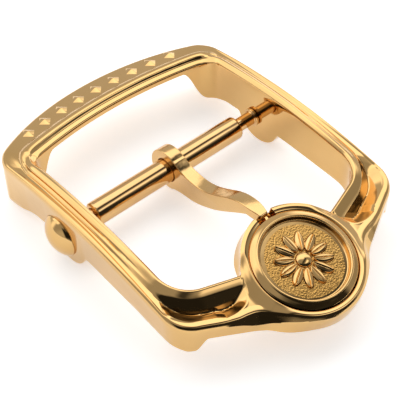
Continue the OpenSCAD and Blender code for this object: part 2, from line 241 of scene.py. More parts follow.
# Top of the frame: an inner bead along the window and a channel outside it, as distances from
# the window's edge and heights over the arch, at key places round the frame
REAR_SECTION = ([0, 0.04, 0.46, 0.52, 0.58, 0.64, 0.92, 1.2, 1.3, 1.38, 2.2, 3.9],
                [-0.42, -0.33, -0.11, -0.03, 0.05, 0.1, 0.15, 0.1, 0.02, -0.05, -0.08, -0.13])
CHEEK_SECTION = ([0, 0.04, 0.1, 0.36, 0.6, 0.66, 0.7, 0.74, 0.86, 0.93, 0.99, 2.0],
                 [-0.14, -0.03, 0.03, 0.14, 0.05, -0.02, -0.12, -0.03, -0.06, -0.16, -0.25, -0.22])
LOWER_CHEEK_SECTION = ([0, 0.04, 0.1, 0.22, 0.36, 0.5, 0.62, 0.74, 0.82, 0.9, 1.0, 2.0],
                       [-0.14, -0.03, 0.03, 0.1, 0.06, -0.02, -0.09, -0.15, -0.2, -0.24, -0.28,
                        -0.28])
ARM_SECTION = ([0, 0.03, 0.08, 0.22, 0.38, 0.52, 0.66, 0.72, 0.8, 1.1, 1.4, 3.2],
               [-0.16, -0.04, 0.04, 0.11, 0.05, -0.02, -0.1, -0.15, -0.24, -0.62, -0.95, -0.95])
SECTION_KEYS = [(0, REAR_SECTION), (REAR_CORNER + 6, REAR_SECTION), (CHEEK + 2, CHEEK_SECTION),
                (CHEEK + 0.55 * CHEEK_N, CHEEK_SECTION), (FRONT_CORNER - 4, LOWER_CHEEK_SECTION),
                (FRONT_CORNER + 14, ARM_SECTION), (STATIONS, ARM_SECTION)]

# The outer bead, a raised ribbon that runs from the cheeks into the seat's ring: station, width,
# height of its crest over the arch and radius of its outer edge
RIBBON_KEYS = [(0, 0.45, -0.1, 0.34), (REAR_CORNER + 8, 0.45, -0.1, 0.34),
               (CHEEK + 4, 0.5, -0.17, 0.25), (FRONT_CORNER, 0.52, -0.18, 0.25),
               (ARM, 0.58, -0.1, 0.25), (STATIONS, 0.6, -0.08, 0.25)]
RIBBON_FLANK = 0.17
RIBBON_CROWN = 0.05
# Slope of the ribbon's outer side in degrees, on the cheeks and where it nears the seat, and
# where along x and over what length it changes
EDGE_STEEP, SEAT_EDGE_STEEP = 80, 45
STEEP_X, STEEP_L = 7.6, 1.2
# The channel's far wall on the arms: how far below the arch it starts and how steeply it falls
CHANNEL_LIP, CHANNEL_SLOPE = 0.12, 0.85
# From which station, and over how many, that wall comes in and the ribbon rises
DEEP_FROM, DEEP_N = FRONT_CORNER - 8, 20
RIBBON_FROM, RIBBON_N = REAR_CORNER + 8, CHEEK - REAR_CORNER + 6
# How softly the ribbon meets the seat's ring, and the channel's far wall its floor
RING_BLEND, CHANNEL_BLEND = 0.08, 0.06
# Where the ribbon's inner edge swings away from the arm's outer edge to the window
RIBBON_SWING = [(6.44, -13.12), (5.73, -13.23), (5.08, -13.16), (4.66, -12.93), (4.37, -12.45),
                (4.18, -11.95), (4.02, -11.5)]
# How far outside the first of these points the edge along the outline ends, the angle at which
# the line ends behind the seat and the angle in which it comes to the seat's rim
SWING_GAP = 0.5
SWING_END, SWING_TURN = math.radians(110), math.radians(10)


def between(keys, i, k):
    """Value k of the keyed rows at station i."""
    return np.interp(i, [row[0] for row in keys], [row[k] for row in keys])


def section_at(i):
    """Listed points of the section at station i."""
    places = [key[0] for key in SECTION_KEYS]
    return [[np.interp(i, places, [section[k][j] for _place, section in SECTION_KEYS])
             for j in range(len(REAR_SECTION[0]))] for k in (0, 1)]


def swing_line():
    """The ribbon's inner edge in plan, from the rear rail to the seat."""
    across = WINDOW - OUTLINE
    across /= np.hypot(across[:, 0], across[:, 1])[:, None]
    width = np.array([between(RIBBON_KEYS, i, 1) for i in range(STATIONS)])
    along = OUTLINE + across * width[:, None]
    keep = ~((along[:, 0] < RIBBON_SWING[0][0] + SWING_GAP) & (along[:, 1] < ARMS_Y))
    fine = through_knots(RIBBON_SWING, 60)
    rho, angle = seat_polar(*RIBBON_SWING[-1])
    angles = np.linspace(angle, SWING_END, 60)[1:]
    rim = mix(rho, SEAT_R + RIBBON_FLANK, ease((angles - angle) / SWING_TURN))
    return np.concatenate([along[keep], fine, round_seat(rim, angles)])


def smooth_knots(values, t):
    """Catmull-Rom curve through evenly numbered values."""
    padded = np.concatenate([[2 * values[0] - values[1]], values, [2 * values[-1] - values[-2]]])
    i = np.clip(t.astype(int), 0, len(values) - 2)
    u = t - i
    a, b, c, d = (padded[i + k] for k in range(4))
    return 0.5 * (2 * b + (c - a) * u + (2 * a - 5 * b + 4 * c - d) * u ** 2
                  + (3 * b - a - 3 * c + d) * u ** 3)


def through_knots(knots, count):
    """Plan points, as many as count, on a Catmull-Rom curve through given knots."""
    values = np.array(knots)
    t = np.linspace(0, len(values) - 1, count)
    return np.stack([smooth_knots(values[:, 0], t), smooth_knots(values[:, 1], t)], axis=1)


SWING = swing_line()

# The ribbon's outer edge on the arms, from the outline to the round front of the seat
RIBBON_EDGE = [(6.71, -13.5), (5.93, -13.78), (5.31, -13.91), (4.78, -14.08), (4.33, -14.4),
               (3.96, -14.84), (3.5, -15.36), (2.88, -15.93)]
# How far outside the first of these points the outline ends, and the angle at which the edge
# ends at the front of the seat
EDGE_GAP = 0.3
EDGE_END = math.radians(-100)


def edge_line():
    """The ribbon's outer edge in plan: the outline, the arm's curve and the front of the seat."""
    keep = ~((OUTLINE[:, 0] < RIBBON_EDGE[0][0] + EDGE_GAP) & (OUTLINE[:, 1] < ARMS_Y))
    rho, angle = seat_polar(*RIBBON_EDGE[-1])
    angles = np.linspace(angle, EDGE_END, 60)[1:]
    return np.concatenate([OUTLINE[keep], through_knots(RIBBON_EDGE, 70), round_seat(rho, angles)])


EDGE = edge_line()

# Ring of the seat: distances from its middle and heights over its plane, where it stands free
# and where it runs down into the arms
SEAT_RING = ([3.51, 3.56, 3.66, 3.82, 3.92, 4.0, 4.1, 4.4, 6.0, 8.0, 12.0],
             [-0.24, -0.17, -0.12, -0.1, -0.11, -0.13, -0.17, -0.32, -1.1, -4, -16])
SEAT_FLARE = ([3.51, 3.56, 3.64, 4.0, 4.35, 4.7, 5.2, 6.0, 8.0, 12.0],
              [-0.24, -0.16, -0.12, -0.27, -0.46, -0.66, -1.0, -1.9, -5, -16])
# The angles between which it runs down, and over how many degrees it changes
FLARE_FROM, FLARE_TO, FLARE_TURN = -38, 45, 20


def ring_height(x, y):
    """Height of the seat's ring over plan points."""
    rho, angle = seat_polar(x, y)
    angle = np.degrees(angle)
    flare = ease((angle - FLARE_FROM) / FLARE_TURN) * ease((FLARE_TO - angle) / FLARE_TURN)
    drop = mix(smooth_line(*SEAT_RING, rho), smooth_line(*SEAT_FLARE, rho), flare)
    return seat_plane(y) + drop / math.cos(SEAT_TILT)


def rounded_fall(from_edge, edge_r, steep):
    """How far a rounded edge has fallen at a distance from it: an arc that ends in a slope."""
    past = np.clip(edge_r - from_edge, 0, None)
    turned = np.minimum(past, edge_r * np.sin(steep))
    return edge_r - np.sqrt(edge_r ** 2 - turned ** 2) + (past - turned) * np.tan(steep)


def top_height(points, stations):
    """Height of the frame's top over plan points that belong to the given stations."""
    x, y = points[:, 0], points[:, 1]
    from_window, _side = distance_to(points, WINDOW)
    from_edge, edge_side = distance_to(points, EDGE)
    from_edge = -from_edge * edge_side
    from_swing, side = distance_to(points, SWING)
    inside = from_swing * side

    # The section at each station, with the channel's far wall on the arms
    low = arch(y)
    for i in np.unique(stations):
        rows = stations == i
        low[rows] += smooth_line(*section_at(i), from_window[rows])
    steep = mix(EDGE_STEEP, SEAT_EDGE_STEEP, ease((STEEP_X - x) / STEEP_L) * (y < ARMS_Y))
    fall = rounded_fall(from_edge, between(RIBBON_KEYS, stations, 3), np.radians(steep))
    low -= fall
    far_wall = arch(y) - CHANNEL_LIP + CHANNEL_SLOPE * np.minimum(inside, 0)
    deep = ease((stations - DEEP_FROM) / DEEP_N)
    low = mix(low, smooth_max(low, far_wall, CHANNEL_BLEND), deep)

    # The ribbon over it, from the rear corner on
    width = between(RIBBON_KEYS, stations, 1)
    crown = RIBBON_CROWN * ((np.clip(from_edge, 0, None) - width / 2) / (width / 2)) ** 2
    bead = arch(y) + between(RIBBON_KEYS, stations, 2) - np.clip(crown, 0, RIBBON_CROWN)
    ribbon = smooth_max(bead, ring_height(x, y), RING_BLEND) - fall
    share = ease((stations - RIBBON_FROM) / RIBBON_N)
    return mix(low, ribbon, share * ease(inside / RIBBON_FLANK))


# Lower edge of the cheeks: the front foot as its ys and its heights over the bar's axis, then
# the waist, the heel that starts the rear foot, the rear foot itself and the hub round the bar
FRONT_FOOT = ([-14, -12.7, -12.3, -12, -11.5, -10.8, -9.8, -7.95],
              [-0.34, -0.34, -0.39, -0.26, -0.1, -0.17, -0.27, -0.14])
WAIST_Z, HEEL_Z, REAR_FOOT_Z = -0.14, -0.62, -1.48
WAIST_Y, HEEL_Y, HEEL_L = -3.5, 2.5, REAR_REACH - 3
HUB_R, HUB_Y, HUB_BLEND = 1.98, -0.45, 0.5


def underside(y):
    """Lower edge of the cheeks: feet at both ends, a waist and a hub round the bar."""
    waist = mix(WAIST_Z, HEEL_Z, np.clip((y - WAIST_Y) / (HEEL_Y - WAIST_Y), 0, 1))
    rear = mix(HEEL_Z, REAR_FOOT_Z, ease((y - HEEL_Y) / HEEL_L))
    low = np.where(y < FRONT_FOOT[0][-1], smooth_line(*FRONT_FOOT, y), np.where(y < HEEL_Y, waist, rear))
    hub = -np.sqrt(np.maximum(HUB_R ** 2 - (y - HUB_Y) ** 2, 0))
    h = np.clip(0.5 + 0.5 * (hub - low) / HUB_BLEND, 0, 1)
    return mix(hub, low, h) - HUB_BLEND * h * (1 - h)


# Where along x the cheeks' deep wall starts and over what length it comes in full
REAR_STEP_X, REAR_STEP_L = 5.9, 1.9
FRONT_STEP_X, FRONT_STEP_L = 7.75, 0.8


def cheek_share(i):
    """How far station i has the cheeks' deep side wall: 0 on the rails and 1 on the cheeks."""
    if i < CHEEK + CHEEK_N / 2:
        return float(ease((WINDOW[i, 0] - REAR_STEP_X) / REAR_STEP_L))
    return float(ease((OUTLINE[i, 0] - FRONT_STEP_X) / FRONT_STEP_L))


# Points across a section, how far they crowd towards its edges, and heights of those down a wall
ACROSS = 64
CROWDING = 0.45
EVEN = np.linspace(0, 1, ACROSS)
SPREAD = mix(EVEN, 0.5 - 0.5 * np.cos(math.pi * EVEN), CROWDING)
WALL_STEPS = (0.1, 0.35, 0.65, 0.9)
# Places of these points in a section's ring, which starts at the window's edge and runs outwards
# over the top, down the outer wall, back below and up the inner wall
FOOT = ACROSS + len(WALL_STEPS)
OUTER_WALL = slice(ACROSS - 1, FOOT + 2)
BELOW = slice(FOOT + 1, FOOT + 1 + ACROSS)
INNER_WALL = [0, *range(-1, -len(WALL_STEPS) - 3, -1)]


def arm_rings():
    """Closed rings of points round the section at every station, from the rear middle on."""
    stations = np.repeat(np.arange(STATIONS), ACROSS)
    plan = (WINDOW[:, None] + (OUTLINE - WINDOW)[:, None] * SPREAD[None, :, None]).reshape(-1, 2)
    top = top_height(plan, stations)
    rings = []
    for i in range(STATIONS):
        rows = slice(i * ACROSS, (i + 1) * ACROSS)
        share = cheek_share(i)
        thick = REAR_T if i < CHEEK else FRONT_T
        xy, z = plan[rows], top[rows]
        a, b = WINDOW[i], OUTLINE[i]
        along = (b - a) / np.hypot(*(b - a))
        lean = float(np.interp(i, *WALL_LEAN))

        def low(p):
            return mix(arch(p[1]) - thick, underside(p[1]), share)

        foot_out = b - along * lean
        ring = [(*p, h) for p, h in zip(xy, z)]
        z_low = low(foot_out)
        for t in WALL_STEPS:
            ring.append((*(b - along * lean * t), mix(z[-1], z_low + EDGE_BREAK, t)))
        ring.append((*foot_out, z_low + EDGE_BREAK))
        span = foot_out - along * EDGE_BREAK - (a + along * EDGE_BREAK)
        for t in SPREAD[::-1]:
            p = a + along * EDGE_BREAK + span * t
            ring.append((*p, low(p)))
        z_low = low(a)
        ring.append((*a, z_low + EDGE_BREAK))
        for t in WALL_STEPS:
            ring.append((*a, mix(z_low + EDGE_BREAK, z[0], t)))
        rings.append(ring)
    return np.array(rings)


class Mesher:
    """Collects points and faces, and joins points that fall on one another."""

    def __init__(self):
        self.points = []
        self.faces = []
        self.count = 0

    def add(self, points):
        """Keeps points, in millimetres, and gives their numbers."""
        points = np.asarray(points, float).reshape(-1, 3)
        first = self.count
        self.points.append(points)
        self.count += len(points)
        return first + np.arange(len(points))

    def grid(self, rows, closed_rows=False, closed_columns=False):
        """Faces between rows of points, given as a 2-D array of numbers."""
        ring = np.concatenate([rows, rows[:, :1]], axis=1) if closed_rows else rows
        ring = np.concatenate([ring, ring[:1]], axis=0) if closed_columns else ring
        a, b = ring[:-1, :-1].ravel(), ring[:-1, 1:].ravel()
        c, d = ring[1:, 1:].ravel(), ring[1:, :-1].ravel()
        for face in np.stack([a, b, c, d], axis=1).tolist():
            corners = list(dict.fromkeys(face))
            if len(corners) > 2:
                self.faces.append(corners)

    def fan(self, ring, middle):
        """Triangles from a closed ring of points to one in its middle."""
        self.faces += [[ring[k], ring[(k + 1) % len(ring)], middle] for k in range(len(ring))]

    def build(self, name, weld=1e-5):
        """A piece of all points and faces; points closer than weld, in millimetres, are joined."""
        mesh = bpy.data.meshes.new(name)
        mesh.from_pydata((np.concatenate(self.points) * MM).tolist(), [], self.faces)
        piece = bpy.data.objects.new(name, mesh)
        bpy.context.scene.collection.objects.link(piece)
        clean(piece, weld * MM)
        return piece


def clean(piece, weld=0.0):
    """Joins doubled points, drops faces without area and turns all faces outwards."""
    work = bmesh.new()
    work.from_mesh(piece.data)
    if weld:
        bmesh.ops.remove_doubles(work, verts=work.verts, dist=weld)
    bmesh.ops.dissolve_degenerate(work, edges=work.edges, dist=1e-9)
    bmesh.ops.recalc_face_normals(work, faces=work.faces)
    work.to_mesh(piece.data)
    work.free()


def dress(piece, *materials):
    """Gives a piece its materials in place of those it has."""
    piece.data.materials.clear()
    for material in materials:
        piece.data.materials.append(material)


# Edges that turn by more than this stay sharp
CREASE = math.radians(32)


def finish_piece(piece, body, slot, node, *materials):
    """Shades a piece smooth with crisp edges, fixes it to its body and hides the part it stands for."""
    piece.data.polygons.foreach_set("use_smooth", [True] * len(piece.data.polygons))
    piece.data.set_sharp_from_angle(angle=CREASE)
    dress(piece, *materials)
    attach(piece, body)
    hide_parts(node)


def cut_with(piece, cutter):
    """Cuts a solid away from a piece and removes the cutter."""
    step = piece.modifiers.new("cut", "BOOLEAN")
    step.operation = "DIFFERENCE"
    step.solver = "EXACT"
    step.object = cutter
    depsgraph = bpy.context.evaluated_depsgraph_get()
    cut_mesh = bpy.data.meshes.new_from_object(piece.evaluated_get(depsgraph))
    piece.modifiers.clear()
    old = piece.data
    piece.data = cut_mesh
    bpy.data.meshes.remove(old)
    bpy.data.objects.remove(cutter)


def lathe(name, profile, side=1, steps=96):
    """Turned solid round the X axis, from (x, radius) points; radius 0 closes an end."""
    mesher = Mesher()
    angles = np.linspace(0, 2 * math.pi, steps, endpoint=False)
    rows = []
    for x, r in profile:
        if r == 0:
            rows.append(np.repeat(mesher.add([(side * x, 0, 0)]), steps))
        else:
            rows.append(mesher.add([(side * x, r * math.sin(a), r * math.cos(a)) for a in angles]))
    mesher.grid(np.array(rows), closed_rows=True)
    return mesher.build(name)


# The seat's skirt: angle from +X, radius where the wall starts and how far it flares to its foot
SKIRT = ([-90, -60, -50, -40, -30, -25, -20, -15, -12.5],
         [4.08, 4.08, 4.12, 4.22, 4.38, 4.5, 4.7, 5.06, 5.33],
         [0.14, 0.14, 0.15, 0.16, 0.15, 0.12, 0.08, 0.04, 0])
# Rays over half the seat, at the window and at the front, and points along each ray. Between the
# two groups lies a ray for each point of the arm's last section
WINDOW_RAYS, FRONT_RAYS, RAY_POINTS = 36, 63, 40
# Radii of the rings of points on the seat's underside
UNDER_RINGS = (3.6, 2.0)
# Over how many rays the rim and the walls run into the arm's
RIM_BLEND, WINDOW_BLEND, FRONT_BLEND = 8, 9, 44
# How unevenly points lie along a ray, and how early a wall reaches its flare
RAY_CURVE, FLARE_CURVE = 1.15, 1.6


def wall_column(top, foot, under):
    """Seven points down a wall: its top, four between, its foot and the edge of the underside."""
    points = [top]
    for t in WALL_STEPS:
        points.append((*mix(top[:2], foot[:2], t ** FLARE_CURVE), mix(top[2], foot[2], t)))
    return np.array(points + [foot, under])


def seat_half(last):
    """Right half of the seat, joined to the arm's last ring: the rays' angles, the points of the
    top and of the walls, and the edge of the underside."""
    crest = last[:ACROSS]
    rho, arm = seat_polar(crest[:, 0], crest[:, 1])
    window = np.linspace(math.pi / 2, arm[0], WINDOW_RAYS, endpoint=False)
    front = np.linspace(arm[-1], -math.pi / 2, FRONT_RAYS + 1)[1:]
    angle = np.concatenate([window, arm, front])
    first, second = WINDOW_RAYS, WINDOW_RAYS + ACROSS - 1
    down = np.degrees(angle)
    reach = np.where(down > 0, SEAT_TOP_R, smooth_line(SKIRT[0], SKIRT[1], down))
    reach[:first] += (rho[0] - SEAT_TOP_R) * ease(1 - (first - np.arange(first)) / RIM_BLEND)
    reach[first:second + 1] = rho
    spread = np.linspace(0, 1, RAY_POINTS)
    r = POCKET_R + (reach[:, None] - POCKET_R) * spread[None] ** RAY_CURVE
    plan = round_seat(r.ravel(), np.repeat(angle, RAY_POINTS))
    z = top_height(plan, np.full(len(plan), STATIONS - 1))
    top = np.concatenate([plan, z[:, None]], axis=1).reshape(len(angle), RAY_POINTS, 3)
    top[first:second + 1, -1] = crest

    def free_column(k):
        wide = SEAT_R if down[k] > 0 else reach[k] + float(smooth_line(SKIRT[0], SKIRT[2], down[k]))
        c, s = math.cos(angle[k]), math.sin(angle[k])
        under = wide - EDGE_BREAK
        foot = on_seat(wide * c, wide * s, EDGE_BREAK - SEAT_T)
        return wall_column(top[k, -1], foot, on_seat(under * c, under * s, -SEAT_T))

    # Beside the arm each wall turns into the arm's own, below its top point, which stays
    walls = np.array([free_column(k) for k in range(len(angle))])
    for at, column, rays, length in ((first, last[INNER_WALL], range(first), WINDOW_BLEND),
                                     (second, last[OUTER_WALL], range(second + 1, len(angle)),
                                      FRONT_BLEND)):
        change = column - walls[at]
        for k in rays:
            walls[k, 1:] += change[1:] * (1 - float(ease(abs(k - at) / length)))
        walls[at] = column
    edge = walls[:, -1].copy()
    edge[first:second + 1] = last[BELOW][::-1]
    return angle, top, walls, edge


def frame_piece():
    """The frame: rails, cheeks and arms as one loft, run into the round seat."""
    mesher = Mesher()
    half = arm_rings()
    left = half[::-1].copy()
    left[..., 0] *= -1
    rings = np.concatenate([left[:-1], half])
    rows = mesher.add(rings).reshape(rings.shape[:2])
    mesher.grid(rows, closed_rows=True)

    angle, top, walls, edge = seat_half(half[-1])
    first, second = WINDOW_RAYS, WINDOW_RAYS + ACROSS - 1
    flip = np.array([-1, 1, 1])
    whole_top = mesher.add(np.concatenate([top, (top * flip)[-2:0:-1]])).reshape(-1, RAY_POINTS)
    mesher.grid(whole_top, closed_columns=True)
    for part in (walls[second:], walls[:first + 1]):
        for way in (1, -1):
            mesher.grid(mesher.add(part * (way, 1, 1)).reshape(part.shape[:2]))

    # Pocket
    turn = np.concatenate([angle, math.pi - angle[-2:0:-1]])
    pocket = mesher.add(seat_ring(POCKET_R, turn, -POCKET_D))
    mesher.grid(np.stack([pocket, whole_top[:, 0]], axis=1), closed_columns=True)
    mesher.fan(pocket, mesher.add([on_seat(0.0, 0.0, -POCKET_D)])[0])

    # Underside
    levels = [mesher.add(np.concatenate([edge, (edge * flip)[-2:0:-1]]))]
    for r in UNDER_RINGS:
        levels.append(mesher.add(seat_ring(r, turn, -SEAT_T)))
    mesher.grid(np.stack(levels, axis=1), closed_columns=True)
    mesher.fan(levels[-1], mesher.add([on_seat(0.0, 0.0, -SEAT_T)])[0])
    return mesher.build("buckle_frame", weld=2e-3)


# The tongue and its tip
TONGUE_W = 1
TONGUE_X = 0.12
TONGUE_EDGE = 0.07
EYE_R = 1.6
TIP_T = 0.65
TIP_L = 1.4
TIP_W = 0.58
NOSE_ROUND = 0.16
# Where the flat under the tip ends, as a share of the tip's y
TIP_FLAT = 0.87
TIP_Y = SEAT_Y + SEAT_R * math.cos(SEAT_TILT) - 0.3
TIP_Z = arch(TIP_Y) + 0.4
# The tongue's top and underside, as shares of the tip's y and z
TONGUE_UPPER = [(0.1, 0.47), (0.175, 0.36), (0.26, 0.32), (0.37, 0.335), (0.475, 0.44),
                (0.58, 0.62), (0.69, 0.84), (0.775, 0.96), (0.85, 1.01), (0.92, 1.02), (0.98, 1)]
TONGUE_LOWER = [(0.08, -0.46), (0.16, -0.38), (0.235, -0.34), (0.31, -0.3), (0.39, -0.21),
                (0.47, -0.09), (0.55, 0.05), (0.63, 0.22), (0.715, 0.42), (0.79, 0.6)]
# The notch for the tip: its width and chamfer, the room under the tip, how far its cutter reaches
# into the pocket, and the height and the y at which the cutter ends in free air
NOTCH_W = 1.4
NOTCH_CHAMFER = 0.15
NOTCH_ROOM = 0.06
NOTCH_LAP = 0.1
NOTCH_SKY_Z = 4.6
NOTCH_END_Y = -6.5

# The bar, its pins and its caps. The tube stands a little nearer the left cheek
BAR_R = 0.875
TUBE_BORE_R = BAR_R - 0.2
TUBE_X = IN_X - 1.5
MOUTH_L = 0.45
BAR_SHIFT = -0.26
# Clearance of what turns or slides, bore of the tongue's eye, and the caps' clearance
RUN = 0.04
EYE_BORE_R = BAR_R + 1.4 * RUN
CAP_PLAY = 0.03
CAP_R = 1.55
CAP_DOME = 0.72
CAP_EDGE = 0.15
CAP_STEM_R = 0.75
CAP_STEM_L = 0.5
NOSE_R = 0.43
BORE_R = NOSE_R + RUN
STEM_R = 0.51
COLLAR_R = 0.7
COLLAR_L = 0.25
HEAD_L = 1.4
NOSE_L = 0.7
# The nose's rounded end: how far before its tip, and how much thinner it is there
NOSE_END = ((0.12, 0), (0.04, 0.08), (0, 0.16))


def notch_cutter():
    """Block with the shape of the notch in the seat's rim, where the tongue's tip lies."""
    x, z = NOTCH_W / 2, TIP_Z - TIP_T - NOTCH_ROOM
    x_low, z_side, z_sky = x - NOTCH_CHAMFER, z + NOTCH_CHAMFER, NOTCH_SKY_Z
    mesher = Mesher()
    rows = []
    for y in (SEAT_Y + (POCKET_R - NOTCH_LAP) * math.cos(SEAT_TILT), NOTCH_END_Y):
        rows.append(mesher.add([(-x, y, z_sky), (x, y, z_sky), (x, y, z_side), (x_low, y, z),
                                (-x_low, y, z), (-x, y, z_side)]))
    mesher.grid(np.array(rows), closed_rows=True)
    mesher.faces += [rows[0].tolist(), rows[1].tolist()]
    return mesher.build("notch_cutter")


def bore_cutter(side):
    """Stepped pin with the shape of a cheek's bore and the cap's seat in it."""
    start, stem_x, flange, end = IN_X - 0.6, OUT_X - CAP_EDGE - CAP_STEM_L, OUT_X - CAP_EDGE, OUT_X + 1
    return lathe("bore_cutter", [
        (start, 0), (start, BORE_R), (stem_x, BORE_R), (stem_x, CAP_STEM_R), (flange, CAP_STEM_R),
        (flange, CAP_R + CAP_PLAY), (end, CAP_R + CAP_PLAY), (end, 0)], side, steps=64)


def cap_piece(name, side):
    """Domed cap with a thin flange, pressed into the cheek over the bar's bore."""
    ball_r = (CAP_R ** 2 + CAP_DOME ** 2) / (2 * CAP_DOME)
    start = math.asin(CAP_R / ball_r)
    dome = [(OUT_X + CAP_DOME - ball_r * (1 - math.cos(a)), ball_r * math.sin(a))
            for a in np.linspace(start, 0, 18, endpoint=False)]
    flange = OUT_X - CAP_EDGE
    stem = flange - CAP_STEM_L + CAP_PLAY
    profile = [(stem, 0), (stem, CAP_STEM_R - 0.1), (stem + 0.08, CAP_STEM_R), (flange, CAP_STEM_R),
               (flange, CAP_R - 0.03), (flange + 0.03, CAP_R), (OUT_X - 0.04, CAP_R),
               (OUT_X, CAP_R - 0.02)] + dome[1:] + [(OUT_X + CAP_DOME, 0)]
    return lathe(name, profile, side)


def tube_piece():
    """The bar's tube, with rounded shoulders and a mouth at each end for the pins."""
    mouth, inner, round_r = STEM_R + RUN, TUBE_BORE_R, 0.2
    corner = [(TUBE_X - round_r * (1 - math.sin(a)), BAR_R - round_r * (1 - math.cos(a)))
              for a in np.linspace(0, math.pi / 2, 8)]
    bore = TUBE_X - MOUTH_L
    half = [(0, BAR_R), (TUBE_X / 2, BAR_R)] + corner + [
        (TUBE_X, mouth + 0.04), (TUBE_X - 0.04, mouth), (bore, mouth), (bore, inner), (0, inner)]
    profile = half + [(-x, r) for x, r in half[-2::-1]]
    return lathe("spring_bar_tube", [(x + BAR_SHIFT, r) for x, r in profile])


def pin_piece(name, side):
    """A pin of the bar: head inside the tube, stem, collar and the nose in the cheek."""
    edge = 0.05
    head_end = TUBE_X + BAR_SHIFT - MOUTH_L - 0.02
    head = head_end - HEAD_L
    head_r = TUBE_BORE_R - RUN
    collar_end = IN_X - RUN
    collar = collar_end - COLLAR_L
    nose_end = IN_X + NOSE_L
    return lathe(name, [
        (head, 0), (head, head_r - edge), (head + edge, head_r), (head_end, head_r),
        (head_end, STEM_R), (collar - 0.06, STEM_R), (collar, STEM_R + edge), (collar, COLLAR_R - edge),
        (collar + edge, COLLAR_R), (collar_end - edge, COLLAR_R), (collar_end, COLLAR_R - edge),
        (collar_end, NOSE_R), *((nose_end - back, NOSE_R - less) for back, less in NOSE_END),
        (nose_end, 0)], side, steps=72)


def tongue_outline():
    """Side view of the tongue as (y, z), round the eye, along the top, the tip and back below."""
    upper, lower = (through_knots(knots, (len(knots) - 1) * 8 + 1) * (TIP_Y, TIP_Z)
                    for knots in (TONGUE_UPPER, TONGUE_LOWER))
    heel = TIP_T - NOSE_ROUND
    tip = np.array([[TIP_Y + r + r * math.cos(a), TIP_Z - NOSE_ROUND + r * math.sin(a)]
                    for r, a0 in ((NOSE_ROUND, math.pi / 2), (heel, math.pi))
                    for a in np.linspace(a0, a0 + math.pi / 2, 10)])
    start = math.atan2(lower[0, 1], lower[0, 0]) % (2 * math.pi)
    end = math.atan2(upper[0, 1], upper[0, 0]) + 2 * math.pi
    sweep = np.linspace(start, end, 60)[1:-1]
    eye = np.stack([EYE_R * np.cos(sweep), EYE_R * np.sin(sweep)], axis=1)
    under_tip = np.array([[TIP_Y * TIP_FLAT, TIP_Z - TIP_T]])
    return np.concatenate([upper, tip, under_tip, lower[::-1], eye])


def tongue_piece():
    """The tongue: its side view as a bevelled plate with the round hole of the eye."""
    data = bpy.data.curves.new("tongue_outline", "CURVE")
    data.dimensions = "2D"
    data.fill_mode = "BOTH"
    data.extrude = (TONGUE_W / 2 - TONGUE_EDGE) * MM
    data.bevel_depth = TONGUE_EDGE * MM
    data.bevel_resolution = 4
    data.offset = -TONGUE_EDGE * MM
    turn = np.linspace(0, 2 * math.pi, 96, endpoint=False)
    hole = np.stack([np.cos(turn), np.sin(turn)], axis=1) * EYE_BORE_R
    for loop in (tongue_outline(), hole):
        spline = data.splines.new("POLY")
        spline.points.add(len(loop) - 1)
        # A point of a curve is x, y, z and weight
        rest = np.full((len(loop), 2), (0, 1))
        spline.points.foreach_set("co", np.concatenate([loop * MM, rest], axis=1).ravel())
        spline.use_cyclic_u = True
    maker = bpy.data.objects.new("tongue_maker", data)
    bpy.context.scene.collection.objects.link(maker)
    depsgraph = bpy.context.evaluated_depsgraph_get()
    mesh = bpy.data.meshes.new_from_object(maker.evaluated_get(depsgraph))
    bpy.data.objects.remove(maker)
    # The outline's plane becomes the buckle's YZ plane
    mesh.transform(Matrix(((0, 0, 1), (1, 0, 0), (0, 1, 0))).to_4x4())
    narrow_tip(mesh)
    mesh.transform(Matrix.Translation((TONGUE_X * MM, 0, 0)))
    piece = bpy.data.objects.new("buckle_tongue", mesh)
    bpy.context.scene.collection.objects.link(piece)
    clean(piece, 1e-7)
    return piece


def narrow_tip(mesh):
    """Draws the sides of the tongue in towards its tip, in a slight curve."""
    work = bmesh.new()
    work.from_mesh(mesh)
    for cut in np.linspace(0.02, TIP_L, 14):
        bmesh.ops.bisect_plane(work, geom=work.verts[:] + work.edges[:] + work.faces[:], dist=1e-8,
                               plane_co=(0, (TIP_Y + cut) * MM, 0), plane_no=(0, 1, 0))
    for corner in work.verts:
        near = 1 - (corner.co.y / MM - TIP_Y) / TIP_L
        corner.co.x *= 1 - (1 - TIP_W / TONGUE_W) * min(max(near, 0), 1) ** 2
    work.to_mesh(mesh)
    work.free()


# The medallion's face: distances from its middle and heights over the seat's plane
MEDAL_SECTION = ([0, 2.82, 2.86, 2.89, 2.925, 2.97, 3.03, 3.08, 3.12, 3.3, 3.44, 3.475],
                 [-0.3, -0.3, -0.27, -0.1, 0.05, 0.09, 0.1, 0.085, 0.05, -0.045, -0.125, -0.16])
FIELD_R = 2.58
MEDAL_R, MEDAL_DEPTH = 3.48, 0.75
# Rings of points on its face, as first radius, last radius and how many, and points on each
MEDAL_RINGS = ((0.03, 2.1, 84), (2.13, FIELD_R, 10), (2.6, 2.82, 5), (2.835, 3.12, 22),
               (3.15, 3.475, 12))
MEDAL_STEPS = 420
# The heights between which the stippled field lies, which is painted a deeper gold as shade
FIELD_LOW, FIELD_HIGH = -0.35, -0.27
# The rosette: its petals, each with a vein, and the round boss in the middle
PETALS = 12
PETAL_IN = 0.63
PETAL_L = 1.35
PETAL_H = 0.2
# Half a petal's width as a share of its length, and the power of its rounded back, where 0.5
# would be half an ellipse
PETAL_HALF, PETAL_BACK = 0.24, 0.45
VEIN_W, VEIN_D = 0.035, 0.07
BOSS_R, BOSS_H = 0.55, 0.26


